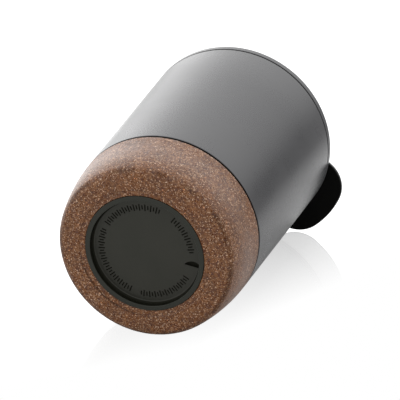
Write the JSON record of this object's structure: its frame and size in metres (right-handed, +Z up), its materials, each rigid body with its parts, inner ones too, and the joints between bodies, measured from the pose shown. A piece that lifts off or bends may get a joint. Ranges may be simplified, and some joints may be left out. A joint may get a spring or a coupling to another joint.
{
  "type": "travel cup",
  "caption": "Rigid double-walled tumbler with a cork boot, a recessed base cap, a steel liner and a push-in lid with a thumb tab and a sliding closure.",
  "frame": {"origin": "centre of the foot ring's resting plane", "axes": "+Z up along the cup's axis, +X towards the lid's thumb tab"},
  "size_m": [0.094, 0.0842, 0.1223],
  "materials": {
    "cork": "fine-grained dark cork composite",
    "shell": "satin dark grey",
    "base_plastic": "matte black with a fine moulded texture",
    "liner_steel": "brushed stainless",
    "silicone": "matte silicone",
    "lid_plastic": "semi-gloss black"
  },
  "bodies": {
    "cup": {"cork_base": "cork", "outer_shell": "shell", "rim_ring": "shell", "rim_seal": "silicone", "inner_cup": "liner_steel", "base_cap": "base_plastic", "base_seal": "silicone"},
    "lid": {"lid_body": "lid_plastic", "lid_gasket": "silicone"},
    "slider": {"lid_slider": "lid_plastic", "slider_seal": "silicone"}
  },
  "joints": [
    {"name": "lid_lift", "type": "slide", "parent": "cup", "child": "lid", "axis": [0, 0, 1], "range_m": [0, 0.03]},
    {"name": "slider_travel", "type": "slide", "parent": "lid", "child": "slider", "axis": [1, 0, 0], "range_m": [0, 0.013]}
  ]
}
